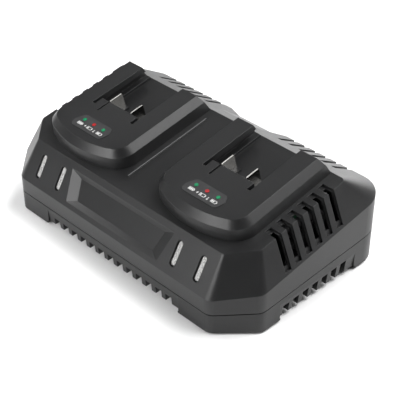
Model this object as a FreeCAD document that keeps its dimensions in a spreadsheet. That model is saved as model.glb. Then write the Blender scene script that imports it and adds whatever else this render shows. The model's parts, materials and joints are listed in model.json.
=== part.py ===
import FreeCAD, Part
import math, os
from FreeCAD import Vector as V, Rotation, Placement

doc = FreeCAD.newDocument("charger")

# ---------------------------------------------------------------- dimensions
# X runs along the long side, the user stands at -Y, +Z is up, z = 0 is the
# table under the rubber feet.
P = [
 ("half_len", 125.0), ("front_y", -80.0), ("back_y", 74.0), ("corner_x", 24.7), ("corner_y", 26.0), ("back_rad", 22.0), ("corner_rad", 9.0), ("deck_corner_rad", 3.5),
 ("leg_z", 1.5), ("skirt_z", 4.0), ("taper", 1.2), ("taper_top", 15.5), ("seam", 0.7), ("floor_top", 7.0), ("wall", 3.0),
 ("part_z", 22.0), ("part_slope", 0.06), ("band_z", 42.7), ("band_slope", 0.17),
 ("deck_z", 68.4), ("tilt_deg", 10.2),
 ("deck_half", 113.8), ("deck_front", -63.1), ("deck_back", 38.0), ("deck_cx", 16.8), ("deck_cy", 17.7), ("deck_rad", 4.0),
 ("centre_shift", 2.75),
 ("bay_pitch", 117.0), ("dock_half", 43.0), ("dock_front", -59.4), ("dock_top_half", 37.3), ("dock_top_front", -54.2),
 ("dock_rise", 9.3), ("dock_high", 14.5), ("dock_back", 38.0), ("dock_top_back", 31.5), ("dock_skin", 2.5),
 ("chan_half", 22.3), ("groove_half", 27.0), ("flange_low", 9.6), ("step_s", -12.5), ("notch_s", -20.0), ("plateau_half", 19.4),
 ("blade_off", 11.65), ("blade_thick", 1.0), ("blade_len", 12.4), ("slot_s", -24.5),
 ("label_w", 35.4), ("label_d", 13.8), ("label_s", -39.8), ("label_thick", 0.3),
 ("led_pitch", 10.35), ("led_s", -37.7), ("led_rad", 1.5),
 ("panel_deep", 2.5), ("bar_in", 61.5), ("bar_out", 84.0), ("bar_w", 3.4), ("bar_l", 17.0),
 ("side_slot_w", 5.6), ("side_slot_pitch", 10.4), ("side_slot_first", -29.2),
 ("rear_slot_w", 4.0), ("rear_slot_pitch", 10.2), ("rear_group_x", 64.0),
 ("notch_w", 6.0), ("notch_pitch", 10.07), ("side_notch_pitch", 9.85),
 ("foot_rad", 6.0), ("foot_thick", 4.0), ("foot_x", 108.0), ("foot_front", -69.0), ("foot_back", 58.0),
 ("board_z", 14.0), ("board_thick", 1.6), ("board_l", 196.0), ("board_w", 110.0), ("board_y", -6.0),
 ("fan_size", 40.0), ("fan_deep", 10.0), ("fan_x", 107.5), ("fan_y", 0.0), ("fan_z", 36.5), ("fan_bore", 19.0), ("rotor_rad", 18.3), ("hub_rad", 9.0),
 ("screw_rad", 1.5), ("boss_rad", 4.0),
]
sheet = doc.addObject("Spreadsheet::Sheet", "dims")
for i, (k, v) in enumerate(P, start=1):
    sheet.set("A%d" % i, k)
    sheet.set("B%d" % i, "%g" % v)
    sheet.setAlias("B%d" % i, k)
doc.recompute()
D = {k: float(getattr(sheet, k)) for k, _ in P}
TILT = D["tilt_deg"]
TAN = math.tan(math.radians(TILT))

NODES = []


def ex(obj, prop, val):
    """Number, or expression over the sheet's cells (names prefixed by $)."""
    if isinstance(val, str):
        obj.setExpression(prop, val.replace("$", "dims."))
    elif "." in prop:
        obj.setExpression(prop, repr(float(val)))
    else:
        setattr(obj, prop, val)


def place(obj, x=0, y=0, z=0):
    for a, v in zip("xyz", (x, y, z)):
        if isinstance(v, str) or v:
            ex(obj, "Placement.Base." + a, v)


def box(name, l, w, h, x=0, y=0, z=0, cx=True, cy=True):
    o = doc.addObject("Part::Box", name)
    ex(o, "Length", l); ex(o, "Width", w); ex(o, "Height", h)
    xs = "(%s) - (%s)/2" % (x, l) if cx else str(x)
    ys = "(%s) - (%s)/2" % (y, w) if cy else str(y)
    place(o, xs, ys, str(z))
    return o


def cyl(name, r, h, x=0, y=0, z=0, axis=None):
    o = doc.addObject("Part::Cylinder", name)
    ex(o, "Radius", r); ex(o, "Height", h)
    if axis == "x":
        o.Placement = Placement(V(0, 0, 0), Rotation(V(0, 1, 0), 90))
    elif axis == "y":
        o.Placement = Placement(V(0, 0, 0), Rotation(V(1, 0, 0), -90))
    place(o, str(x), str(y), str(z))
    return o


def fuse(name, objs):
    if len(objs) == 1:
        return objs[0]
    o = doc.addObject("Part::MultiFuse", name)
    o.Shapes = objs
    return o


def cut(name, base, tools):
    t = fuse(name + "_tools", tools)
    o = doc.addObject("Part::Cut", name)
    o.Base = base
    o.Tool = t
    return o


def common(name, a, b):
    o = doc.addObject("Part::Common", name)
    o.Base = a
    o.Tool = b
    return o


def group(name, objs):
    o = doc.addObject("Part::Compound", name)
    o.Links = objs
    return o


def node(obj, name):
    """A finished piece, moved so that the origin is under the middle of the case."""
    o = doc.addObject("Part::Compound", "n_" + name)
    o.Links = [obj]
    ex(o, "Placement.Base.y", "$centre_shift")
    o.Label = name
    NODES.append((o, name))
    return o


def feature(name, shape):
    o = doc.addObject("Part::Feature", name)
    o.Shape = shape
    return o


def deck_place(obj, x="0"):
    """Set an assembled piece into the deck's tilted frame."""
    obj.Placement = Placement(V(0, 0, 0), Rotation(V(1, 0, 0), TILT))
    place(obj, x, 0, "$deck_z")
    return obj


# ---------------------------------------------------------------- lofted forms
def rounded(pts, radii):
    """Closed wire through pts with each corner rounded."""
    n = len(pts)
    edges, ends = [], []
    for i in range(n):
        p, a, b = pts[i], pts[i - 1], pts[(i + 1) % n]
        u, v = (a - p).normalize(), (b - p).normalize()
        half = u.getAngle(v) / 2.0
        t = radii[i] / math.tan(half)
        c = p + (u + v).normalize() * (radii[i] / math.sin(half))
        m = c + (p - c).normalize() * radii[i]
        ends.append((p + u * t, m, p + v * t))
    for i in range(n):
        s0, m, s1 = ends[i]
        edges.append(Part.Arc(s0, m, s1).toShape())
        edges.append(Part.makeLine(s1, ends[(i + 1) % n][0]))
    return Part.Wire(edges)


def outline(xh, yf, yb, cx, cy, r, rc):
    pts = [V(-xh + cx, yf, 0), V(xh - cx, yf, 0), V(xh, yf + cy, 0), V(xh, yb, 0), V(-xh, yb, 0), V(-xh, yf + cy, 0)]
    return rounded(pts, [rc, rc, rc, r, r, rc])


def on_plane(wire, z0, slope):
    m = FreeCAD.Matrix()
    m.A32 = slope
    m.A34 = z0
    return wire.transformGeometry(m)


def loft(w0, w1):
    return Part.makeLoft([w0, w1], True, True)


def body_outline(off):
    return outline(D["half_len"] - off, D["front_y"] + off, D["back_y"] - off,
                   D["corner_x"] - off * 0.42, D["corner_y"] - off * 0.42, D["back_rad"] - off, max(1.0, D["corner_rad"] - off))


def deck_outline(off):
    r = max(1.0, D["deck_rad"] - off)
    return outline(D["deck_half"] - off, D["deck_front"] + off, D["deck_back"] - off,
                   D["deck_cx"] - off * 0.42, D["deck_cy"] - off * 0.42, r, max(0.8, D["deck_corner_rad"] - off))


def upper_form(off, drop):
    lo = on_plane(body_outline(off), D["part_z"] - (3.0 if off else 0.0), D["part_slope"])
    mid = on_plane(body_outline(off), D["band_z"] - (1.0 if off else 0.0), D["band_slope"])
    top = on_plane(deck_outline(off), D["deck_z"] - drop, TAN)
    return loft(lo, mid).fuse(loft(mid, top)).removeSplitter()


w = D["wall"]
upper_outer = feature("upper_outer", upper_form(0.0, 0.0))
upper_inner = feature("upper_inner", upper_form(w, w))
upper_lim = feature("upper_lim", upper_form(w * 0.5, w * 0.5))

# ---------------------------------------------------------------- lower shell
lower_outer = feature("lower_outer", loft(on_plane(body_outline(0.0), D["skirt_z"], 0.0),
                                          on_plane(body_outline(0.0), D["part_z"] - D["seam"], D["part_slope"])))
lip = feature("lip", loft(on_plane(body_outline(w + 0.1), D["skirt_z"] + 0.2, 0.0),
                          on_plane(body_outline(w + 0.1), D["part_z"] + 1.6, D["part_slope"])))
lower_inner = feature("lower_inner", loft(on_plane(body_outline(w + 1.4), D["floor_top"], 0.0),
                                          on_plane(body_outline(w + 1.4), D["part_z"] + 3.0, D["part_slope"])))


def wedge(l, d):
    """Prism l long that leans a wall in by d at the skirt."""
    z0, z1 = D["skirt_z"] - 1.0, D["taper_top"]
    k = d * (z1 - z0) / (z1 - D["skirt_z"])
    f = Part.Face(Part.makePolygon([V(0, -0.02, z1), V(0, k, z0), V(0, -5, z0), V(0, -5, z1), V(0, -0.02, z1)]))
    s_ = f.extrude(V(l, 0, 0))
    s_.translate(V(-l / 2.0, 0, 0))
    return s_


wf = wedge(141.0, D["taper"])
wf.translate(V(1.0, D["front_y"], 0))
ws_r = wedge(78.0, D["taper"])
ws_r.rotate(V(0, 0, 0), V(0, 0, 1), 90)
ws_r.translate(V(D["half_len"], 2.5, 0))
ws_l = wedge(78.0, D["taper"])
ws_l.rotate(V(0, 0, 0), V(0, 0, 1), -90)
ws_l.translate(V(-D["half_len"], 2.5, 0))
wedges = [feature("wedge_f", wf), feature("wedge_r", ws_r), feature("wedge_l", ws_l)]
leg_form = feature("leg_form", loft(on_plane(body_outline(0.0), D["leg_z"], 0.0),
                                    on_plane(body_outline(0.0), D["skirt_z"] + 0.1, 0.0)))
leg_boxes = fuse("leg_boxes", [
    box("leg_fl", 60, 50, 10, "-101", "-61"), box("leg_fr", 60, 50, 10, "101", "-61"),
    box("leg_bl", 60, 50, 10, "-101", "68"), box("leg_br", 60, 50, 10, "101", "68")])
legs = common("legs", leg_form, leg_boxes)
tray = cut("tray", fuse("tray_out", [lower_outer, lip]), [lower_inner])

bolts = [(-100, -44), (100, -44), (-100, 34), (100, 34), (0, -62), (26, 60)]
low_boss = [cyl("low_boss%d" % i, "$boss_rad", "$board_z - $skirt_z - 0.5", x, y, "$skirt_z + 0.5") for i, (x, y) in enumerate(bolts)]
pins = [(-88, -55), (88, -55), (-88, 43), (88, 43)]
standoff = [cyl("standoff%d" % i, 3.5, "$board_z - $floor_top + 1", x, y, "$floor_top - 1") for i, (x, y) in enumerate(pins)]
tray_all = fuse("tray_all", [tray, legs] + low_boss + standoff)
tools = list(wedges)
for i in range(13):
    tools.append(box("notch_f%d" % i, "$notch_w", 26, 7.0, "$notch_pitch * %d + 0.6" % (i - 6), "$front_y", 3.0))
for sgn in (-1, 1):
    for i in range(7):
        hh = 9.0 + 0.45 * i
        tools.append(box("notch_s%d%d" % (sgn + 1, i), 26, "$notch_w", hh, "%d * $half_len" % sgn, "$side_notch_pitch * %d - 0.6" % (i - 3), 3.0))
for i, (x, y) in enumerate(bolts):
    tools.append(cyl("bolt_bore%d" % i, "$screw_rad + 0.2", 30, x, y, 0))
    tools.append(cyl("bolt_seat%d" % i, 3.1, 5.5, x, y, 2.0))
for i, (x, y) in enumerate(pins):
    tools.append(cyl("pin_bore%d" % i, 1.0, 6, x, y, "$board_z - 6"))
fx = ["-$foot_x", "$foot_x", "-$foot_x", "$foot_x"]
fy = ["$foot_front", "$foot_front", "$foot_back", "$foot_back"]
fx[0], fx[1] = "-$foot_x + 7.5", "$foot_x - 7.5"
for i in range(4):
    tools.append(cyl("foot_seat%d" % i, "$foot_rad + 0.1", 2.5, fx[i], fy[i], 0))
tools.append(box("inlet_hole", 21.4, 12, 12.4, "0", "$back_y", 8.8))
lower = cut("lower", tray_all, tools)
node(lower, "lower_shell")

# rubber feet: turned discs set in round seats under the legs
def foot(i):
    b = doc.addObject("PartDesign::Body", "foot_body%d" % i)
    pl = [f for f in b.Origin.OriginFeatures if f.Role == "XZ_Plane"][0]
    s = b.newObject("Sketcher::SketchObject", "foot_sketch%d" % i)
    s.AttachmentSupport = (pl, [""])
    s.MapMode = "FlatFace"
    r, h0 = D["foot_rad"], 2.5
    pts = [(0, 0), (r - 0.8, 0), (r, 0.8), (r, h0), (0, h0)]
    for j in range(5):
        a, c = pts[j], pts[(j + 1) % 5]
        s.addGeometry(Part.LineSegment(V(a[0], a[1], 0), V(c[0], c[1], 0)), False)
    import Sketcher
    for j in range(5):
        s.addConstraint(Sketcher.Constraint("Coincident", j, 2, (j + 1) % 5, 1))
    s.addConstraint(Sketcher.Constraint("Coincident", 0, 1, -1, 1))
    s.addConstraint(Sketcher.Constraint("Horizontal", 0))
    s.addConstraint(Sketcher.Constraint("Vertical", 2))
    s.addConstraint(Sketcher.Constraint("Horizontal", 3))
    s.addConstraint(Sketcher.Constraint("Vertical", 4))
    n = s.addConstraint(Sketcher.Constraint("DistanceX", -1, 1, 2, 1, r))
    s.setExpression("Constraints[%d]" % n, "dims.foot_rad")
    n = s.addConstraint(Sketcher.Constraint("DistanceY", -1, 1, 3, 1, h0))
    n = s.addConstraint(Sketcher.Constraint("DistanceX", 0, 2, 2, 1, 0.8))
    n = s.addConstraint(Sketcher.Constraint("DistanceY", 0, 2, 1, 2, 0.8))
    doc.recompute()
    rv = b.newObject("PartDesign::Revolution", "foot_turn%d" % i)
    rv.Profile = s
    rv.ReferenceAxis = (s, ["V_Axis"])
    rv.Angle = 360
    b.Tip = rv
    place(b, fx[i], fy[i], 0)
    return b
node(group("feet", [foot(i) for i in range(4)]), "rubber_feet")

# ---------------------------------------------------------------- upper shell
shell = cut("shell", upper_outer, [upper_inner])
# keep the upper shell above the parting plane
top_boss = [cyl("top_boss%d" % i, "$boss_rad", 80, x, y, "$board_z + 0.3") for i, (x, y) in enumerate(bolts)]
boss_all = common("boss_all", fuse("top_bosses", top_boss), upper_lim)
boss_low = fuse("boss_low", [cyl("boss_low%d" % i, "$boss_rad", 12, x, y, "$board_z + 0.3") for i, (x, y) in enumerate(bolts)])
# slope faces
a0 = V(0, D["front_y"], D["band_z"] + D["band_slope"] * D["front_y"])
a1 = V(0, D["deck_front"], D["deck_z"] + TAN * D["deck_front"])
fdir = (a1 - a0).normalize()
fang = math.degrees(math.atan2(fdir.z, fdir.y))
front_pl = Placement(a0, Rotation(V(1, 0, 0), fang))        # local y climbs the slope, local -z goes inside


def slope_box(name, l, ww, h, x, v, n):
    o = doc.addObject("Part::Box", name)
    ex(o, "Length", l); ex(o, "Width", ww); ex(o, "Height", h)
    lx = l if not isinstance(l, str) else None
    o.Placement = front_pl.multiply(Placement(V(x - l / 2.0, v - ww / 2.0, n), Rotation()))
    return o


def slope_slab(name, l, ww, h, x, v, n, rad):
    """Round-ended plate in the slope's frame."""
    p = [V(x - l / 2, v - ww / 2, n), V(x + l / 2, v - ww / 2, n), V(x + l / 2, v + ww / 2, n), V(x - l / 2, v + ww / 2, n)]
    f = Part.Face(rounded(p, [rad] * 4)).extrude(V(0, 0, h))
    f.Placement = front_pl
    return feature(name, f)


def quad(pts, z):
    return Part.makePolygon([V(x, y, z) for x, y in pts] + [V(pts[0][0], pts[0][1], z)])


po = [(-53.8, 27.7), (-48.3, 3.7), (48.3, 3.7), (53.8, 27.7)]
pi_ = [(-44.2, 23.7), (-40.2, 7.7), (40.2, 7.7), (44.2, 23.7)]
dep = D["panel_deep"]
high_ = [(po[i][0] + (po[i][0] - pi_[i][0]) / dep, po[i][1] + (po[i][1] - pi_[i][1]) / dep) for i in range(4)]
pan = Part.makeLoft([quad(high_, 1.0), quad(pi_, -dep)], True, True)
pan.Placement = front_pl
panel_cut = feature("panel_cut", pan)
panel_back = common("panel_back", slope_box("panel_plate", 110.0, 27.0, 3.8, 0.0, 15.8, -dep - 3.2), upper_lim)

utools = [panel_cut]
for i, x in enumerate((-D["bar_out"], -D["bar_in"], D["bar_in"], D["bar_out"])):
    utools.append(slope_slab("bar_slot%d" % i, 5.2, 19.0, 12.0, x, 15.8, -8.0, 2.2))

# side slots: a chord cut over the shoulder and a through slot in its middle
slope_drop = D["deck_z"] - D["band_z"]
slope_run = D["half_len"] - D["deck_half"]
sang = math.degrees(math.atan2(slope_drop, slope_run))
for sgn in (-1, 1):
    for i in range(6):
        y = D["side_slot_first"] + i * D["side_slot_pitch"]
        for tag, ang, l0, l1, n0 in (("rd", 0.0, -9.6, 3.0, -1.6), ("rs", sang, -1.5, 25.6, -1.6),
                                     ("td", 0.0, -4.6, 3.0, -9.0), ("ts", sang, -1.0, 22.0, -9.0)):
            o = doc.addObject("Part::Box", "side_%s%d%d" % (tag, sgn + 1, i))
            ex(o, "Length", l1 - l0)
            if tag[0] == "r":
                ex(o, "Width", "$side_slot_w")
                wy = D["side_slot_w"]
            else:
                ex(o, "Width", "$side_slot_w - 0.6")
                wy = D["side_slot_w"] - 0.6
            ex(o, "Height", 5.0 - n0)
            if sgn > 0:
                base = Placement(V(D["deck_half"], y, D["deck_z"] + TAN * y), Rotation(V(0, 1, 0), ang))
                pl = base.multiply(Placement(V(l0, -wy / 2.0, n0), Rotation()))
            else:
                base = Placement(V(-D["deck_half"], y, D["deck_z"] + TAN * y), Rotation(V(0, 1, 0), -ang))
                pl = base.multiply(Placement(V(-l1, -wy / 2.0, n0), Rotation()))
            o.Placement = pl
            utools.append(o)

# back slope: two groups of slots with a scoop between them
b0 = V(0, D["deck_back"], D["deck_z"] + TAN * D["deck_back"])
b1 = V(0, D["back_y"], D["band_z"] + D["band_slope"] * D["back_y"])
bdir = (b1 - b0).normalize()
bl = (b1 - b0).Length
bang = math.degrees(math.atan2(bdir.z, bdir.y))
back_pl = Placement(b0, Rotation(V(1, 0, 0), bang))        # local y runs down the slope, local +z outside
for i, gx in enumerate((-D["rear_group_x"], D["rear_group_x"])):
    for k in range(6):
        x = gx + (k - 2.5) * D["rear_slot_pitch"]
        o = doc.addObject("Part::Box", "rear_slot%d%d" % (i, k))
        ex(o, "Length", "$rear_slot_w")
        ex(o, "Width", bl + 3.0 - 19.0)
        ex(o, "Height", 16.0)
        o.Placement = back_pl.multiply(Placement(V(x - D["rear_slot_w"] / 2.0, 19.0, -8.0), Rotation()))
        utools.append(o)
run_ = bl + 8.0 - 18.0
f_ = Part.Face(Part.makePolygon([V(-20, 18, 0), V(20, 18, 0), V(50, 18, 10), V(-50, 18, 10), V(-20, 18, 0)]))
scoop = f_.extrude(V(0, run_, -2.9 * run_ / (bl - 18.0)))
f_ = Part.Face(Part.makePolygon([V(-25, 12, -1.0), V(-25, bl + 4, -2.0), V(-25, bl + 4, -6.6), V(-25, 12, -4.4), V(-25, 12, -1.0)]))
sc_in = f_.extrude(V(50, 0, 0))
for q in (scoop, sc_in):
    q.Placement = back_pl
scoop_wall = common("scoop_wall", feature("scoop_in", sc_in), upper_lim)
utools.append(feature("scoop_a", scoop))

# deck openings under the docks, plugged by the docks' lower rims
def dock_plug(name, grow_by, n0, n1):
    o = doc.addObject("Part::Box", name)
    ex(o, "Length", "2 * ($dock_half - 5 + %g)" % grow_by)
    ex(o, "Width", 47.2 + 2 * grow_by)
    o.Height = n1 - n0
    place(o, "-($dock_half - 5 + %g)" % grow_by, -46.0 - grow_by, n0)
    return o
for i, sx in enumerate(("-$bay_pitch/2", "$bay_pitch/2")):
    h_ = group("deck_hole%d" % i, [dock_plug("deck_hole_box%d" % i, 0.0, -9.0, 6.0)])
    deck_place(h_, sx)
    utools.append(h_)
for i, (x, y) in enumerate(bolts):
    utools.append(cyl("pilot%d" % i, "$screw_rad - 0.2", 16, x, y, "$board_z"))
# thin raised line on the deck beside the left dock
line = box("line_box", 1.0, 79.0, 1.3, -10.2, -11.5, -0.5)
line_g = deck_place(group("deck_line", [line]))
shell_all = fuse("shell_all", [shell, boss_all, boss_low, scoop_wall, line_g, panel_back])
under = feature("under_cut", loft(on_plane(body_outline(-6.0), -20.0, 0.0), on_plane(body_outline(-6.0), D["part_z"], D["part_slope"])))
keep_boss = cut("under_tool", under, [cyl("boss_keep%d" % i, "$boss_rad + 0.01", 60, x, y, "$board_z + 0.3") for i, (x, y) in enumerate(bolts)])
upper = cut("upper", shell_all, utools + [keep_boss])
node(upper, "upper_shell")

# ---------------------------------------------------------------- docks
def d_wire(hw, sf, rm, rc, sb, n):
    cy = sf + rm
    yc = cy - math.sqrt((rm - rc) ** 2 - (hw - rc) ** 2)
    cc = V(hw - rc, yc, n)
    u = (cc - V(0, cy, n)).normalize()
    tp = V(0, cy, n) + u * rm
    ang = math.atan2(tp.y - yc, tp.x - cc.x)
    am = ang / 2.0
    mid = V(cc.x + rc * math.cos(am), cc.y + rc * math.sin(am), n)
    mir = lambda p: V(-p.x, p.y, p.z)
    sr = V(hw, yc, n)
    e = [Part.makeLine(V(-hw, sb, n), mir(sr)),
         Part.Arc(mir(sr), mir(mid), mir(tp)).toShape(),
         Part.Arc(mir(tp), V(0, sf, n), tp).toShape(),
         Part.Arc(tp, mid, sr).toShape(),
         Part.makeLine(sr, V(hw, sb, n)),
         Part.makeLine(V(hw, sb, n), V(-hw, sb, n))]
    return Part.Wire(e)


def dock_form():
    hb, ht = D["dock_half"], D["dock_top_half"]
    low = d_wire(hb, D["dock_front"], 85.0, 17.0, 60.0, 0.0)
    mid = d_wire(hb - 0.8, D["dock_front"] + 0.7, 84.3, 16.6, 60.0, D["dock_rise"])
    top = d_wire(ht, D["dock_top_front"], 79.0, 12.0, 60.0, D["dock_high"])
    s = loft(low, mid).fuse(loft(mid, top))
    return s.removeSplitter()


def cavity_form():
    low = d_wire(D["dock_half"] - 3.5, D["dock_front"] + 3.5, 81.5, 13.5, -15.5, 0.0 - 6.0)
    mid = d_wire(D["dock_half"] - 3.5, D["dock_front"] + 3.5, 81.5, 13.5, -15.5, D["dock_rise"] - 1.0)
    top = d_wire(D["dock_top_half"] - 2.6, D["dock_top_front"] + 2.6, 76.4, 9.4, -15.5, D["dock_high"] - D["dock_skin"])
    return loft(low, mid).fuse(loft(mid, top)).removeSplitter()


def label_wire(n, g=0.0):
    hx, hy = D["label_w"] / 2 + g, D["label_d"] / 2 + g
    s = D["label_s"]
    pts = [(-hx + 1.2, s - hy), (hx - 2.2, s - hy), (hx, s + 1.0), (hx - 3.2, s + hy), (-hx + 3.8, s + hy), (-hx, s - 1.0)]
    return rounded([V(x, y, n) for x, y in pts], [3.2, 3.2, 3.0, 3.2, 3.2, 3.0])


for i, (tag, sx) in enumerate((("left", "-$bay_pitch/2"), ("right", "$bay_pitch/2"))):
    form = feature("dock_form_%s" % tag, dock_form())
    plug = dock_plug("dock_plug_%s" % tag, -0.15, -3.5, 1.0)
    base = fuse("dock_base_%s" % tag, [form, plug])
    t = []
    # slanted back end
    run = (D["dock_back"] - D["dock_top_back"]) / D["dock_high"]
    end = Part.Face(Part.makePolygon([V(-60, D["dock_back"] + run, -1.0), V(-60, 70, -1.0), V(-60, 70, 20), V(-60, D["dock_back"] - run * 20, 20),
                                      V(-60, D["dock_back"] + run, -1.0)])).extrude(V(120, 0, 0))
    t.append(feature("dock_end_%s" % tag, end))
    t.append(feature("dock_cav_%s" % tag, cavity_form()))
    t.append(box("chan_%s" % tag, "2 * $chan_half", 60, 20, "0", "$step_s", 0, cy=False))
    t.append(box("groove_%s" % tag, "2 * $groove_half", 60, "$flange_low - 2.2", "0", "$step_s", 2.2, cy=False))
    for k, sg in enumerate((-1, 1)):
        t.append(box("gnotch_%s%d" % (tag, k), "$chan_half - $plateau_half", "$step_s - $notch_s + 0.01", 20, "%d * ($chan_half + $plateau_half)/2" % sg, "$notch_s", 3.2, cy=False))
        sb = box("side_cav_%s%d" % (tag, k), 9.0, 42.0, 8.5, "%d * ($groove_half + 7.5)" % sg, -8.0, -3.6, cy=False)
        t.append(sb)
    t.append(box("bslot_%s" % tag, 1.7, "$step_s - $slot_s", 8, "-$blade_off", "$slot_s", "$dock_high - 5", cy=False))
    t.append(box("well_%s" % tag, 31.0, 11.0, 8, "0", "$step_s + 0.8", -4.5, cy=False))
    for k in (-1, 0, 1):
        t.append(cyl("led_bore_%s%d" % (tag, k), "$led_rad + 0.1", 10, "%d * $led_pitch" % k, "$led_s", "$dock_high - 5"))
    d = cut("dock_%s" % tag, base, t)
    deck_place(d, sx)
    node(d, "%s_bay_dock" % tag)
    # contact holder
    hb = box("holder_a_%s" % tag, 38.0, 13.0, 3.6, "0", "$step_s + 0.2", 0.05, cy=False)
    hs = box("holder_b_%s" % tag, 30.6, 10.6, 8.0, "0", "$step_s + 1.0", -7.9, cy=False)
    hold = fuse("holder_f_%s" % tag, [hb, hs])
    tl = [box("hslot_%s%d" % (tag, k), "$blade_thick + 0.1", 8.1, 16.0, "%d * $blade_off" % k, "$step_s + 2.0", -9.0, cy=False) for k in (-1, 1)]
    tl.append(box("hmid_%s" % tag, 13.0, 20, 4.0, "0", "$step_s + 3.0", 1.6, cy=False))
    h = cut("holder_%s" % tag, hold, tl)
    deck_place(h, sx)
    node(h, "%s_contact_holder" % tag)
    # blades
    bl_ = []
    for k in (-1, 1):
        s0 = D["step_s"] + 0.3
        s1 = s0 + D["blade_len"]
        prof = [(s0, 3.75), (s0, 14.0), (s0 + 0.5, 14.5), (s1 - 0.6, 14.5), (s1 - 0.2, 14.0), (s1 + 0.6, 3.75),
                (s0 + 9.7, 3.75), (s0 + 9.7, -13.0), (s0 + 1.8, -13.0), (s0 + 1.8, 3.75)]
        f = Part.Face(Part.makePolygon([V(0, a, b) for a, b in prof] + [V(0, prof[0][0], prof[0][1])]))
        sh = f.extrude(V(D["blade_thick"], 0, 0))
        sh.translate(V(k * D["blade_off"] - D["blade_thick"] / 2, 0, 0))
        bl_.append(feature("blade_%s%d" % (tag, k + 1), sh))
    g = group("blades_%s" % tag, bl_)
    deck_place(g, sx)
    node(g, "%s_blade_contacts" % tag)
    # status label with light holes
    lab = Part.Face(label_wire(D["dock_high"] + 0.02)).extrude(V(0, 0, D["label_thick"]))
    lc = cut("label_%s" % tag, feature("label_f_%s" % tag, lab),
             [cyl("lab_bore_%s%d" % (tag, k), "$led_rad + 0.1", 4, "%d * $led_pitch" % k, "$led_s", "$dock_high - 2") for k in (-1, 0, 1)])
    deck_place(lc, sx)
    node(lc, "%s_status_label" % tag)
    gl = group("green_%s" % tag, [cyl("green_%s%d" % (tag, k), "$led_rad", 8.2, "%d * $led_pitch" % k, "$led_s", "$dock_high - 7.6") for k in (-1, 1)])
    deck_place(gl, sx)
    node(gl, "%s_green_lights" % tag)
    rl = group("red_%s" % tag, [cyl("red_%s" % tag, "$led_rad", 8.2, "0", "$led_s", "$dock_high - 7.6")])
    deck_place(rl, sx)
    node(rl, "%s_red_light" % tag)
    lb = group("ledboard_%s" % tag, [box("ledboard_box_%s" % tag, 46, 20, 1.6, "0", "$led_s", "$dock_high - 9.3")])
    deck_place(lb, sx)
    node(lb, "%s_light_board" % tag)

# frosted light bars in the front slope, with a flange behind the wall
for j, xs in enumerate(((-D["bar_out"], -D["bar_in"]), (D["bar_in"], D["bar_out"]))):
    bars = []
    for k, x in enumerate(xs):
        a = slope_slab("bar_a%d%d" % (j, k), D["bar_w"], D["bar_l"], 4.0, x + 0.3, 16.2, -4.7, 1.4)
        b = slope_box("bar_b%d%d" % (j, k), 8.0, 20.0, 1.2, x, 16.0, -4.9)
        bars.append(fuse("bar%d%d" % (j, k), [a, b]))
    node(group("bars%d" % j, bars), "%s_light_bars" % ("left", "right")[j])

# ---------------------------------------------------------------- inside
# case screws, self-tapping from below, heads up in the lower bosses
sc_ = []
for i, (x, y) in enumerate(bolts):
    sc_.append(fuse("screw%d" % i, [cyl("screw_head%d" % i, 2.9, 2.4, x, y, 5.05), cyl("screw_shank%d" % i, "$screw_rad - 0.2", 20.0, x, y, 7.4)]))
node(group("screws", sc_), "case_screws")

# main board
import Sketcher
body = doc.addObject("PartDesign::Body", "board_body")
pl = [f for f in body.Origin.OriginFeatures if f.Role == "XY_Plane"][0]
sk = body.newObject("Sketcher::SketchObject", "board_sketch")
sk.AttachmentSupport = (pl, [""])
sk.MapMode = "FlatFace"
L_, W_ = D["board_l"] / 2, D["board_w"] / 2
cor = [(-L_, -W_), (L_, -W_), (L_, W_), (-L_, W_)]
for j in range(4):
    a, c = cor[j], cor[(j + 1) % 4]
    sk.addGeometry(Part.LineSegment(V(a[0], a[1], 0), V(c[0], c[1], 0)), False)
for j in range(4):
    sk.addConstraint(Sketcher.Constraint("Coincident", j, 2, (j + 1) % 4, 1))
for j, kind in enumerate(("Horizontal", "Vertical", "Horizontal", "Vertical")):
    sk.addConstraint(Sketcher.Constraint(kind, j))
sk.addConstraint(Sketcher.Constraint("Symmetric", 0, 1, 1, 2, -1, 1))
n = sk.addConstraint(Sketcher.Constraint("DistanceX", 0, 1, 0, 2, 2 * L_))
sk.setExpression("Constraints[%d]" % n, "dims.board_l")
n = sk.addConstraint(Sketcher.Constraint("DistanceY", 1, 1, 1, 2, 2 * W_))
sk.setExpression("Constraints[%d]" % n, "dims.board_w")
for j, (x, y) in enumerate(pins):
    sk.addGeometry(Part.Circle(V(x, y - D["board_y"], 0), V(0, 0, 1), 1.6), False)
doc.recompute()
pad = body.newObject("PartDesign::Pad", "board_pad")
pad.Profile = sk
pad.Length = D["board_thick"]
pad.setExpression("Length", "dims.board_thick")
body.Tip = pad
place(body, "0", "$board_y", "$board_z")
board = cut("board", body, [cyl("board_gap%d" % i, "$boss_rad + 0.6", 10, x, y, "$board_z - 4") for i, (x, y) in enumerate(bolts)])
node(board, "main_board")
node(group("bscrews", [fuse("bscrew%d" % i, [cyl("bs_head%d" % i, 2.6, 1.8, x, y, "$board_z + $board_thick"), cyl("bs_shank%d" % i, 0.98, 6.0, x, y, "$board_z - 4.4")]) for i, (x, y) in enumerate(pins)]), "board_screws")

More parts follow.
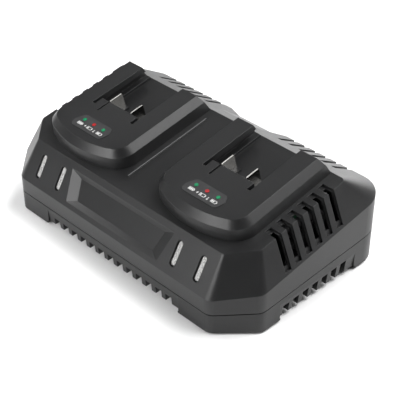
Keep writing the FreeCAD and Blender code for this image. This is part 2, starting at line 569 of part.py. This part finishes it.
BT = "$board_z + $board_thick"
core = cut("core", box("core_box", 34, 30, 29, 8, 8, BT + " + 0.8"),
           [box("core_win%d" % s_, 6, 40, 17, 8 + s_ * 10.0, 8, BT + " + 6.8") for s_ in (-1, 1)])
node(core, "transformer_core")
wind = cut("wind", box("wind_box", 25.6, 40, 16.4, 8, 8, BT + " + 7.1"), [box("wind_leg", 14.2, 50, 30, 8, 8, BT), ])
wind2 = cut("wind2", fuse("wind_u", [wind, box("wind_f", 25.6, 4.6, 22, 8, -9.6, BT), box("wind_b", 25.6, 4.6, 22, 8, 25.6, BT)]), [box("wind_none", 1, 1, 1, 8, 100, 0)])
node(wind2, "transformer_winding")
node(group("bulk", [cyl("bulk0", 9.0, 32, -42, 30, BT), cyl("bulk1", 9.0, 32, -42, 6, BT)]), "bulk_capacitors")
node(group("outc", [cyl("outc%d" % i, 5.0, 20, x, y, BT) for i, (x, y) in enumerate([(62, -40), (62, -26), (76, -40), (76, -26)])]), "output_capacitors")
ch = cut("choke", cyl("choke_o", 10.0, 12, -66, 20, BT), [cyl("choke_i", 4.2, 14, -66, 20, BT + " - 1")])
node(ch, "mains_choke")
node(box("xcap", 18, 8, 14, -66, 42, BT), "mains_filter_capacitor")
node(cyl("fuse_b", 2.6, 20, -50, 49, BT + " + 2.7", axis="x"), "mains_fuse")
node(box("rect", 15, 4, 12, -20, 44, BT), "bridge_rectifier")


def sink(name, x, y, l):
    fins = [box(name + "_web", l, 3, 34, x, y, BT)]
    for k in range(6):
        fins.append(box(name + "_fin%d" % k, 1.6, 9, 34, x - l / 2 + 1.6 + k * (l - 3.2) / 5.0, y + 4.5, BT))
    return fuse(name, fins)


node(sink("sink1", -29, -16, 34), "primary_heatsink")
node(sink("sink2", 54, 26, 40), "secondary_heatsink")
node(group("fets", [box("fet0", 10, 4.4, 15, -37, -19.75, BT + " + 4"), box("fet1", 10, 4.4, 15, -22, -19.75, BT + " + 4")]), "power_switches")
node(group("diodes", [box("diode0", 10, 4.4, 15, 44, 22.25, BT + " + 4"), box("diode1", 10, 4.4, 15, 62, 22.25, BT + " + 4")]), "output_rectifiers")
node(group("terms", [box("term0", 12, 10, 10, -78, -24, BT), box("term1", 12, 10, 10, 30, -40, BT)]), "bay_terminal_blocks")

# mains inlet: moulded two-pin socket in the back wall, and its pins
ib = doc.addObject("PartDesign::Body", "inlet_body")
pl = [f for f in ib.Origin.OriginFeatures if f.Role == "XZ_Plane"][0]
s = ib.newObject("Sketcher::SketchObject", "inlet_sketch")
s.AttachmentSupport = (pl, [""])
s.MapMode = "FlatFace"
for j, (a, c) in enumerate([((-10.6, -6.1), (10.6, -6.1)), ((10.6, -6.1), (10.6, 6.1)), ((10.6, 6.1), (-10.6, 6.1)), ((-10.6, 6.1), (-10.6, -6.1))]):
    s.addGeometry(Part.LineSegment(V(a[0], a[1], 0), V(c[0], c[1], 0)), False)
for j in range(4):
    s.addConstraint(Sketcher.Constraint("Coincident", j, 2, (j + 1) % 4, 1))
doc.recompute()
ip = ib.newObject("PartDesign::Pad", "inlet_pad")
ip.Profile = s
ip.Length = 18.0
ib.Tip = ip
place(ib, "0", "$back_y + 0.5", 15.0)
inl = cut("inlet", ib, [cyl("in_a", 4.3, 16, -4.3, "$back_y - 12.5", 15.0, axis="y"), cyl("in_b", 4.3, 16, 4.3, "$back_y - 12.5", 15.0, axis="y"),
                        box("in_c", 8.6, 16, 7.6, "0", "$back_y - 4.5", 11.2)] + [cyl("in_p%d" % k, 1.15, 20, (k * 2 - 1) * 4.3, "$back_y - 22", 15.0, axis="y") for k in (0, 1)])
node(inl, "mains_inlet")
node(group("inpins", [cyl("inpin%d" % k, 1.15, 15.5, (k * 2 - 1) * 4.3, "$back_y - 20.5", 15.0, axis="y") for k in (0, 1)]), "mains_inlet_pins")


def tube(name, pts, r):
    sp = Part.BSplineCurve()
    sp.interpolate([V(*p) for p in pts])
    path = Part.Wire([sp.toShape()])
    tan = sp.tangent(sp.FirstParameter)[0]
    prof = Part.Wire([Part.Circle(V(*pts[0]), tan, r).toShape()])
    return feature(name, path.makePipeShell([prof], True, True))


def deck_pt(xc, x, s_, n_):
    c_, q_ = math.cos(math.radians(TILT)), math.sin(math.radians(TILT))
    return (xc + x, s_ * c_ - n_ * q_, D["deck_z"] + s_ * q_ + n_ * c_)


zt = D["board_z"] + D["board_thick"] + 10.2
for tag, xc, tx, ty in (("left", -D["bay_pitch"] / 2, -78.0, -24.0), ("right", D["bay_pitch"] / 2, 30.0, -40.0)):
    ws = []
    for k in (-1, 1):
        p1 = deck_pt(xc, k * D["blade_off"], -6.2, -14.6)
        a_ = (tx + k * 2.6, ty, zt + 0.1)
        ws.append(tube("wire_%s%d" % (tag, k + 1), [p1, (p1[0], p1[1] - 1.5, p1[2] - 7.0), (a_[0] * 0.6 + p1[0] * 0.4, a_[1] * 0.6 + p1[1] * 0.4 , zt + 12), a_], 1.1))
    node(group("wires_%s" % tag, ws), "%s_bay_wires" % tag)

# ---------------------------------------------------------------- fan
FC = ("$fan_x", "$fan_y", "$fan_z")
fr = box("fan_sq", "$fan_deep", "$fan_size", "$fan_size", *("%s" % q for q in (FC[0], FC[1], FC[2] + " - $fan_size/2")))
fb = cyl("fan_hole", "$fan_bore", 20, "$fan_x - 10", FC[1], FC[2], axis="x")
holes = [cyl("fan_scr%d%d" % (a, b), 1.7, 20, "$fan_x - 10", "$fan_y + %d" % (a * 16), "$fan_z + %d" % (b * 16), axis="x") for a in (-1, 1) for b in (-1, 1)]
ring = cut("fan_ring", fr, [fb] + holes)
hubp = cyl("fan_hub", "$hub_rad - 0.5", 1.6, "$fan_x - $fan_deep/2", FC[1], FC[2], axis="x")
pin = cyl("fan_pin", 1.0, 7.0, "$fan_x - $fan_deep/2 + 0.5", FC[1], FC[2], axis="x")
arms = [box("fan_arm%d" % k, 1.6, l1, l2, "$fan_x - $fan_deep/2 + 0.8", "$fan_y + %g" % yy, "$fan_z + %g" % zz) for k, (l1, l2, yy, zz) in enumerate([(12.5, 2.4, -13.5, -1.2), (12.5, 2.4, 13.5, -1.2), (2.4, 12.5, 0, -19.8), (2.4, 12.5, 0, 7.3)])]
node(fuse("fan_frame_f", [ring, hubp, pin] + arms), "fan_frame")

hub = cyl("rot_hub", "$hub_rad", 6.6, "$fan_x - $fan_deep/2 + 2.4", FC[1], FC[2], axis="x")
hubcut = cyl("rot_bore", 1.06, 5.6, "$fan_x - $fan_deep/2 + 2.0", FC[1], FC[2], axis="x")
blades = []
for k in range(7):
    bb = Part.makeBox(1.2, 8.6, 10.4, V(-0.6, -4.3, D["hub_rad"] - 1.0))
    bb.rotate(V(0, 0, 0), V(0, 0, 1), 52)
    bb = bb.common(Part.makeBox(6.2, 40, 40, V(-3.1, -20, 0)))
    bb = bb.common(Part.makeCylinder(D["rotor_rad"], 20, V(-10, 0, 0), V(1, 0, 0)))
    bb.rotate(V(0, 0, 0), V(1, 0, 0), k * 360.0 / 7)
    bb.translate(V(D["fan_x"] - D["fan_deep"] / 2 + 5.7, D["fan_y"], D["fan_z"]))
    blades.append(feature("rot_blade%d" % k, bb))
rot = cut("rotor", fuse("rotor_f", [hub] + blades), [hubcut])
node(rot, "fan_rotor")

doc.recompute()

# ---------------------------------------------------------------- checks and files
bad = [o.Name for o in doc.Objects if ("Invalid" in o.State or "Error" in o.State)]
if bad:
    raise RuntimeError("not computed: %s" % bad)
os.makedirs("parts", exist_ok=True)
for o, name in NODES:
    if o.Shape.isNull() or not o.Shape.isValid():
        raise RuntimeError("bad shape: " + name)
    print(name, len(o.Shape.Solids), round(o.Shape.Volume / 1000.0, 2), [round(v, 1) for v in (o.Shape.BoundBox.XMin, o.Shape.BoundBox.XMax, o.Shape.BoundBox.YMin, o.Shape.BoundBox.YMax, o.Shape.BoundBox.ZMin, o.Shape.BoundBox.ZMax)])
    o.Shape.exportStep("parts/%s.step" % name)
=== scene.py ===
import bpy, bmesh, math, json
from mathutils import Vector, Matrix


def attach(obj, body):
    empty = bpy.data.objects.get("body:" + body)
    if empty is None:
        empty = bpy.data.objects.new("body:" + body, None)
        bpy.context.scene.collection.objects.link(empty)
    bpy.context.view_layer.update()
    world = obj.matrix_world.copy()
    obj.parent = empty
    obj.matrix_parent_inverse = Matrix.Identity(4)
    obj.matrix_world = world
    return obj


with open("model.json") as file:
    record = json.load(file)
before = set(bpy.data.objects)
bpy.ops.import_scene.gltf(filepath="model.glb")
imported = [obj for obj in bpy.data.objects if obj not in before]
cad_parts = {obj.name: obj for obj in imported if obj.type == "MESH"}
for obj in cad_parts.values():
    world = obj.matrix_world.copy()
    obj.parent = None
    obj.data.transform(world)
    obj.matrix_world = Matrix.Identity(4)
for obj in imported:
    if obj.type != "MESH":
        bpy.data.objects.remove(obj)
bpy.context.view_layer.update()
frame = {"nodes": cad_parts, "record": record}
N = frame["nodes"]

SHIFT = 0.00275          # the case is centred on the origin
TILT = math.radians(10.2)
DECK_Z = 0.0684


# ------------------------------------------------------------------ materials
def new_mat(name):
    m = bpy.data.materials.new(name)
    m.use_nodes = True
    nt = m.node_tree
    b = nt.nodes["Principled BSDF"]
    return m, nt, b


def ramp(nt, fac, c0, c1, p0=0.35, p1=0.65):
    r = nt.nodes.new("ShaderNodeValToRGB")
    r.color_ramp.elements[0].position = p0
    r.color_ramp.elements[1].position = p1
    r.color_ramp.elements[0].color = (*c0, 1)
    r.color_ramp.elements[1].color = (*c1, 1)
    nt.links.new(fac, r.inputs[0])
    return r.outputs[0]


def noise(nt, co, scale, detail=3.0, rough=0.55, stretch=None):
    n = nt.nodes.new("ShaderNodeTexNoise")
    n.inputs["Scale"].default_value = scale
    n.inputs["Detail"].default_value = detail
    n.inputs["Roughness"].default_value = rough
    if stretch:
        mp = nt.nodes.new("ShaderNodeMapping")
        mp.inputs["Scale"].default_value = stretch
        nt.links.new(co, mp.inputs["Vector"])
        co = mp.outputs[0]
    nt.links.new(co, n.inputs["Vector"])
    return n.outputs["Fac"]


def maths(nt, op, a, b=None, clamp=False):
    n = nt.nodes.new("ShaderNodeMath")
    n.operation = op
    n.use_clamp = clamp
    for i, v in enumerate((a, b)):
        if v is None:
            continue
        if isinstance(v, (int, float)):
            n.inputs[i].default_value = v
        else:
            nt.links.new(v, n.inputs[i])
    return n.outputs[0]


def plastic(name, dark, light, rough=0.42, spread=0.06, grain=2600.0, depth=0.25, spec=0.5, edge=0.0, bevel=0.0):
    """Moulded plastic: fine spark texture, slow tone drift, painted highlight on convex edges."""
    m, nt, b = new_mat(name)
    co = nt.nodes.new("ShaderNodeTexCoord").outputs["Object"]
    slow = noise(nt, co, 16.0, 3.0)
    fine = noise(nt, co, 420.0, 2.0)
    mix = maths(nt, "ADD", maths(nt, "MULTIPLY", slow, 0.65), maths(nt, "MULTIPLY", fine, 0.35))
    col = ramp(nt, mix, dark, light, 0.3, 0.7)
    # painted highlight: convex edges (by pointiness) are mixed toward a colour about three times lighter
    if edge > 0:
        g = nt.nodes.new("ShaderNodeNewGeometry")
        pr = nt.nodes.new("ShaderNodeMapRange")
        pr.inputs["From Min"].default_value = 0.515
        pr.inputs["From Max"].default_value = 0.60
        pr.inputs["To Min"].default_value = 0.0
        pr.inputs["To Max"].default_value = edge
        nt.links.new(g.outputs["Pointiness"], pr.inputs["Value"])
        mx = nt.nodes.new("ShaderNodeMix")
        mx.data_type = "RGBA"
        nt.links.new(pr.outputs[0], mx.inputs[0])
        nt.links.new(col, mx.inputs[6])
        mx.inputs[7].default_value = tuple(min(1.0, c * 3.0 + 0.03) for c in light) + (1,)
        col = mx.outputs[2]
    nt.links.new(col, b.inputs["Base Color"])
    rr = nt.nodes.new("ShaderNodeMapRange")
    rr.inputs["To Min"].default_value = rough - spread
    rr.inputs["To Max"].default_value = rough + spread
    nt.links.new(noise(nt, co, 60.0, 4.0), rr.inputs["Value"])
    nt.links.new(rr.outputs[0], b.inputs["Roughness"])
    b.inputs["Specular IOR Level"].default_value = spec
    grain_n = noise(nt, co, grain, 2.0, 0.6)
    bp = nt.nodes.new("ShaderNodeBump")
    bp.inputs["Strength"].default_value = depth
    bp.inputs["Distance"].default_value = 0.00012
    nt.links.new(grain_n, bp.inputs["Height"])
    if bevel > 0:
        bv = nt.nodes.new("ShaderNodeBevel")
        bv.samples = 4
        bv.inputs["Radius"].default_value = bevel
        nt.links.new(bv.outputs[0], bp.inputs["Normal"])
    nt.links.new(bp.outputs[0], b.inputs["Normal"])
    return m


def metal(name, base, rough=0.25, scratch=0.08, stretch=(1, 40, 40)):
    m, nt, b = new_mat(name)
    co = nt.nodes.new("ShaderNodeTexCoord").outputs["Object"]
    n = noise(nt, co, 120.0, 4.0, 0.6, stretch)
    col = ramp(nt, n, tuple(c * 0.82 for c in base), base, 0.3, 0.7)
    nt.links.new(col, b.inputs["Base Color"])
    b.inputs["Metallic"].default_value = 1.0
    rr = nt.nodes.new("ShaderNodeMapRange")
    rr.inputs["To Min"].default_value = rough - scratch
    rr.inputs["To Max"].default_value = rough + scratch
    nt.links.new(n, rr.inputs["Value"])
    nt.links.new(rr.outputs[0], b.inputs["Roughness"])
    bp = nt.nodes.new("ShaderNodeBump")
    bp.inputs["Strength"].default_value = 0.12
    bp.inputs["Distance"].default_value = 0.00005
    nt.links.new(n, bp.inputs["Height"])
    nt.links.new(bp.outputs[0], b.inputs["Normal"])
    return m


def gloss(name, base, rough=0.2, var=0.12, coat=0.0, bump=0.1, scale=300.0):
    m, nt, b = new_mat(name)
    co = nt.nodes.new("ShaderNodeTexCoord").outputs["Object"]
    n = noise(nt, co, scale, 3.0)
    col = ramp(nt, n, tuple(c * (1 - var) for c in base), tuple(min(1.0, c * (1 + var)) for c in base))
    nt.links.new(col, b.inputs["Base Color"])
    rr = nt.nodes.new("ShaderNodeMapRange")
    rr.inputs["To Min"].default_value = max(0.03, rough - 0.05)
    rr.inputs["To Max"].default_value = rough + 0.08
    nt.links.new(n, rr.inputs["Value"])
    nt.links.new(rr.outputs[0], b.inputs["Roughness"])
    if coat:
        b.inputs["Coat Weight"].default_value = coat
        b.inputs["Coat Roughness"].default_value = 0.08
    bp = nt.nodes.new("ShaderNodeBump")
    bp.inputs["Strength"].default_value = bump
    bp.inputs["Distance"].default_value = 0.0001
    nt.links.new(n, bp.inputs["Height"])
    nt.links.new(bp.outputs[0], b.inputs["Normal"])
    return m


def lens(name, base, glow, strength, rough=0.25):
    m, nt, b = new_mat(name)
    co = nt.nodes.new("ShaderNodeTexCoord").outputs["Object"]
    n = noise(nt, co, 500.0, 2.0)
    nt.links.new(ramp(nt, n, tuple(c * 0.85 for c in base), base), b.inputs["Base Color"])
    b.inputs["Roughness"].default_value = rough
    b.inputs["Subsurface Weight"].default_value = 0.2
    b.inputs["Subsurface Radius"].default_value = (0.002, 0.002, 0.002)
    b.inputs["Emission Color"].default_value = (*glow, 1)
    b.inputs["Emission Strength"].default_value = strength
    bp = nt.nodes.new("ShaderNodeBump")
    bp.inputs["Strength"].default_value = 0.15
    bp.inputs["Distance"].default_value = 0.0001
    nt.links.new(n, bp.inputs["Height"])
    nt.links.new(bp.outputs[0], b.inputs["Normal"])
    return m


def frosted(name, dark, light):
    """Clear bar with a moulded slanting prism texture behind its face."""
    m, nt, b = new_mat(name)
    co = nt.nodes.new("ShaderNodeTexCoord").outputs["Object"]
    mp = nt.nodes.new("ShaderNodeMapping")
    mp.inputs["Rotation"].default_value = (0.5, 0.6, 0.8)
    nt.links.new(co, mp.inputs["Vector"])
    wv = nt.nodes.new("ShaderNodeTexWave")
    wv.inputs["Scale"].default_value = 240.0
    wv.inputs["Distortion"].default_value = 11.0
    wv.inputs["Detail"].default_value = 3.0
    wv.inputs["Detail Scale"].default_value = 2.0
    nt.links.new(mp.outputs[0], wv.inputs["Vector"])
    nt.links.new(ramp(nt, wv.outputs["Fac"], dark, light, 0.0, 0.8), b.inputs["Base Color"])
    b.inputs["Roughness"].default_value = 0.22
    b.inputs["Subsurface Weight"].default_value = 0.15
    b.inputs["Subsurface Radius"].default_value = (0.001, 0.001, 0.001)
    bp = nt.nodes.new("ShaderNodeBump")
    bp.inputs["Strength"].default_value = 0.5
    bp.inputs["Distance"].default_value = 0.0002
    nt.links.new(wv.outputs["Fac"], bp.inputs["Height"])
    nt.links.new(bp.outputs[0], b.inputs["Normal"])
    return m


MATS = {
    # the ninth argument (0.12 here, 0.1 for the inlet) sets the painted highlight on convex edges
    "case_top": plastic("case_top_plastic", (0.0085, 0.0086, 0.0089), (0.0125, 0.0126, 0.0131), 0.38, 0.04, 2400, 0.3, 0.42, 0.12, 0.0005),
    "case_base": plastic("case_base_plastic", (0.0085, 0.0086, 0.0089), (0.0125, 0.0126, 0.0131), 0.39, 0.04, 2400, 0.3, 0.42, 0.12, 0.0005),
    "dock_black": plastic("dock_plastic", (0.0078, 0.0079, 0.0082), (0.0115, 0.0116, 0.0121), 0.37, 0.04, 2600, 0.28, 0.42, 0.12, 0.0005),
    "holder_black": plastic("holder_plastic", (0.006, 0.006, 0.0065), (0.010, 0.010, 0.011), 0.38, 0.04, 3000, 0.2),
    "inlet_black": plastic("inlet_plastic", (0.008, 0.008, 0.0085), (0.013, 0.013, 0.014), 0.36, 0.05, 3000, 0.2, 0.5, 0.1, 0.0004),
    "fan_black": plastic("fan_plastic", (0.010, 0.010, 0.0105), (0.016, 0.016, 0.017), 0.4, 0.05, 2800, 0.2),
    "rotor_black": plastic("rotor_plastic", (0.009, 0.009, 0.0095), (0.015, 0.015, 0.016), 0.32, 0.05, 2800, 0.15),
    "epoxy_black": plastic("epoxy_plastic", (0.008, 0.008, 0.008), (0.014, 0.014, 0.014), 0.5, 0.05, 3000, 0.3),
    "terminal_white": plastic("terminal_nylon", (0.55, 0.55, 0.50), (0.65, 0.65, 0.60), 0.4, 0.05, 2400, 0.15),
    "rubber": plastic("rubber_foot", (0.010, 0.010, 0.010), (0.018, 0.018, 0.018), 0.75, 0.08, 1800, 0.5, 0.3),
    "wire_red": gloss("wire_insulation", (0.45, 0.03, 0.03), 0.35),
    "label_gloss": gloss("label_film", (0.034, 0.034, 0.035), 0.36, 0.15, 0.0, 0.05, 200.0),
    "contact_metal": metal("contact_nickel", (0.50, 0.49, 0.465), 0.22, 0.06, (1, 14, 1)),
    "pin_metal": metal("pin_nickel", (0.8, 0.79, 0.76), 0.22),
    "steel": metal("zinc_steel", (0.62, 0.62, 0.63), 0.32),
    "sink_alu": metal("extruded_alu", (0.78, 0.79, 0.80), 0.34, 0.08, (60, 60, 1)),
    "green_lens": lens("green_light", (0.004, 0.16, 0.065), (0.0, 0.30, 0.11), 0.18),
    "red_lens": lens("red_light", (0.28, 0.012, 0.014), (0.45, 0.01, 0.012), 0.18),
    "frosted_lens": frosted("frosted_bar", (0.24, 0.24, 0.235), (0.50, 0.50, 0.49)),
    "board_green": gloss("solder_mask", (0.008, 0.055, 0.022), 0.3, 0.15, 0.2, 0.15, 500.0),
    "ferrite": plastic("ferrite_core", (0.02, 0.02, 0.021), (0.035, 0.035, 0.037), 0.55, 0.08, 1500, 0.4),
    "winding_tape": gloss("winding_tape_film", (0.62, 0.48, 0.07), 0.3),
    "can_sleeve": gloss("can_sleeve_film", (0.02, 0.03, 0.10), 0.25, 0.1, 0.3),
    "copper_wire": metal("enamelled_copper", (0.60, 0.27, 0.12), 0.3, 0.08, (80, 1, 1)),
    "film_yellow": gloss("film_box", (0.62, 0.46, 0.05), 0.35),
    "fuse_glass": gloss("fuse_tube", (0.6, 0.65, 0.65), 0.12),
}
slots = {s["node"]: s["material_slot"] for s in frame["record"]["subparts"]}
for name, ob in N.items():
    ob.data.materials.clear()
    ob.data.materials.append(MATS[slots[name]])


def deck(xc, x, t, n):
    """Point on the tilted deck: x across, t along, n above it, in mm."""
    c, q = math.cos(TILT), math.sin(TILT)
    return Vector(((xc + x) / 1e3, (t * c - n * q) / 1e3 + SHIFT, DECK_Z + (t * q + n * c) / 1e3))


def prism(bm, xc, pts, n0, n1):
    """Flat printed shape on the deck's plane."""
    lo = [bm.verts.new(deck(xc, x, t, n0)) for x, t in pts]
    hi = [bm.verts.new(deck(xc, x, t, n1)) for x, t in pts]
    k = len(pts)
    bm.faces.new(hi)
    bm.faces.new(lo[::-1])
    for i in range(k):
        bm.faces.new((lo[i], lo[(i + 1) % k], hi[(i + 1) % k], hi[i]))


def bar(x0, t0, x1, t1):
    return [(x0, t0), (x1, t0), (x1, t1), (x0, t1)]


def disc(cx, ct, r, k=16):
    return [(cx + r * math.cos(2 * math.pi * i / k), ct + r * math.sin(2 * math.pi * i / k)) for i in range(k)]


def new_piece(name, bm, mat, body="housing"):
    bmesh.ops.recalc_face_normals(bm, faces=bm.faces)
    me = bpy.data.meshes.new(name)
    bm.to_mesh(me)
    bm.free()
    o = bpy.data.objects.new(name, me)
    bpy.context.scene.collection.objects.link(o)
    me.materials.append(mat)
    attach(o, body)
    return o


def battery(cx, ct, w, h, cells):
    e = 0.32
    out = [bar(cx - w / 2, ct - h / 2, cx + w / 2, ct - h / 2 + e), bar(cx - w / 2, ct + h / 2 - e, cx + w / 2, ct + h / 2),
           bar(cx - w / 2, ct - h / 2 + e, cx - w / 2 + e, ct + h / 2 - e), bar(cx + w / 2 - e, ct - h / 2 + e, cx + w / 2, ct + h / 2 - e),
           bar(cx + w / 2, ct - h / 5, cx + w / 2 + 0.5, ct + h / 5)]
    step = (w - 2 * e - 0.4) / 3.0
    for i in range(cells):
        x = cx - w / 2 + e + 0.3 + i * step
        out.append(bar(x, ct - h / 2 + e + 0.25, x + step - 0.25, ct + h / 2 - e - 0.25))
    return out


def bolt(cx, ct, k=1.0):
    return [[(cx - 0.2 * k, ct - 1.5 * k), (cx + 1.0 * k, ct + 0.35 * k), (cx + 0.15 * k, ct + 0.35 * k), (cx + 0.45 * k, ct + 1.5 * k),
             (cx - 1.0 * k, ct - 0.25 * k), (cx - 0.1 * k, ct - 0.25 * k)]]


print_mat = gloss("printed_white", (0.62, 0.62, 0.61), 0.35, 0.06)
for tag, xc in (("left", -58.5), ("right", 58.5)):
    bm = bmesh.new()
    shapes = battery(-10.4, -42.4, 5.0, 2.6, 3) + bolt(-4.6, -42.4, 0.9)
    shapes += battery(0.0, -42.4, 5.0, 2.6, 1)
    shapes += [bar(5.0, -43.6, 5.5, -41.3), disc(5.25, -43.4, 0.65)]
    shapes += battery(10.6, -42.4, 5.0, 2.6, 2)
    for sh in shapes:
        prism(bm, xc, sh, 14.80, 14.86)
    new_piece(tag + "_label_marks", bm, print_mat)
# painted highlight: bright rough metal strips laid along the top edge of each contact blade
blade_highlight_paint = metal("painted_blade_highlight", (0.88, 0.87, 0.84), 0.56, 0.04, (1, 20, 1))
for tag, xc in (("left", -58.5), ("right", 58.5)):
    bm = bmesh.new()
    for k in (-1, 1):
        prism(bm, xc, bar(k * 11.65 - 0.5, -11.7, k * 11.65 + 0.5, -0.5), 14.48, 14.54)
    new_piece(tag + "_blade_top_painted_highlights", bm, blade_highlight_paint)
# painted highlight: a light grey stripe laid on the deck, much lighter than the plastic, standing in for the light
# line along it
bm = bmesh.new()
prism(bm, 0.0, bar(-10.6, -50.8, -9.8, 27.8), 0.80, 0.86)
new_piece("deck_shadow_line_highlight", bm, gloss("painted_highlight_grey", (0.11, 0.111, 0.113), 0.45, 0.1))

# ------------------------------------------------------------------ stage
def floor_mat():
    m, nt, b = new_mat("floor_paper")
    co = nt.nodes.new("ShaderNodeTexCoord").outputs["Object"]
    n = noise(nt, co, 40.0, 3.0)
    nt.links.new(ramp(nt, n, (0.93, 0.93, 0.93), (0.945, 0.945, 0.945)), b.inputs["Base Color"])
    b.inputs["Roughness"].default_value = 0.6
    b.inputs["Specular IOR Level"].default_value = 0.2
    return m


bm = bmesh.new()
S = 3.0
vs = [bm.verts.new(v) for v in ((-S, -S, 0), (S, -S, 0), (S, S, 0), (-S, S, 0))]
bm.faces.new(vs)
me = bpy.data.meshes.new("floor")
bm.to_mesh(me)
bm.free()
fl = bpy.data.objects.new("floor", me)
bpy.context.scene.collection.objects.link(fl)
me.materials.append(floor_mat())

world = bpy.data.worlds.new("studio") if bpy.context.scene.world is None else bpy.context.scene.world
bpy.context.scene.world = world
bpy.context.scene.view_settings.view_transform = "Standard"
world.use_nodes = True
bg = world.node_tree.nodes["Background"]
bg.inputs[0].default_value = (1.0, 1.0, 1.0, 1)
bg.inputs[1].default_value = 0.09


def area(name, loc, target, size, energy, col=(1, 1, 1), sy=None):
    l = bpy.data.lights.new(name, "AREA")
    l.energy = energy
    l.color = col
    l.size = size
    if sy:
        l.shape = "RECTANGLE"
        l.size_y = sy
    o = bpy.data.objects.new(name, l)
    bpy.context.scene.collection.objects.link(o)
    o.location = loc
    d = Vector(target) - Vector(loc)
    o.rotation_euler = d.to_track_quat("-Z", "Y").to_euler()
    return o


area("top_soft", (0.66, 0.60, 1.45), (0, 0, 0), 1.1, 34)
area("left_low", (-1.45, 0.25, 0.30), (0, 0, 0.03), 0.7, 2.0, sy=0.4)
area("front_soft", (-0.20, -1.25, 0.62), (0, -0.05, 0.0), 0.7, 11, sy=0.5)
for tag, at, to in (("a", (-0.85, -0.30, 0.75), (-0.31, -0.10, 0)), ("b", (-0.42, -0.92, 0.75), (-0.13, -0.31, 0))):
    fill = area("floor_fill_" + tag, at, to, 0.25, 0.27)
    fill.data.spread = math.radians(42)
area("left_back", (-0.95, 0.55, 1.25), (0, 0, 0.03), 0.35, 0.45)
area("floor_back", (-0.30, 1.40, 0.60), (-0.15, 0.40, 0), 0.8, 20, sy=0.5)

# ------------------------------------------------------------------ camera
AZ, EL = 45.52, 35.79
F_PX = 1106.6
DIST = 0.8155
T = Vector((0.01307, -0.00191 + SHIFT, 0.0265))
az, el = math.radians(AZ), math.radians(EL)
d = Vector((-math.sin(az) * math.cos(el), math.cos(az) * math.cos(el), -math.sin(el)))
cam = bpy.data.cameras.new("camera")
cam.sensor_width = 36.0
cam.sensor_fit = "HORIZONTAL"
cam.lens = F_PX / 400.0 * 36.0
co_ = bpy.data.objects.new("camera", cam)
bpy.context.scene.collection.objects.link(co_)
co_.location = T - d * DIST
co_.rotation_euler = d.to_track_quat("-Z", "Y").to_euler()
bpy.context.scene.camera = co_
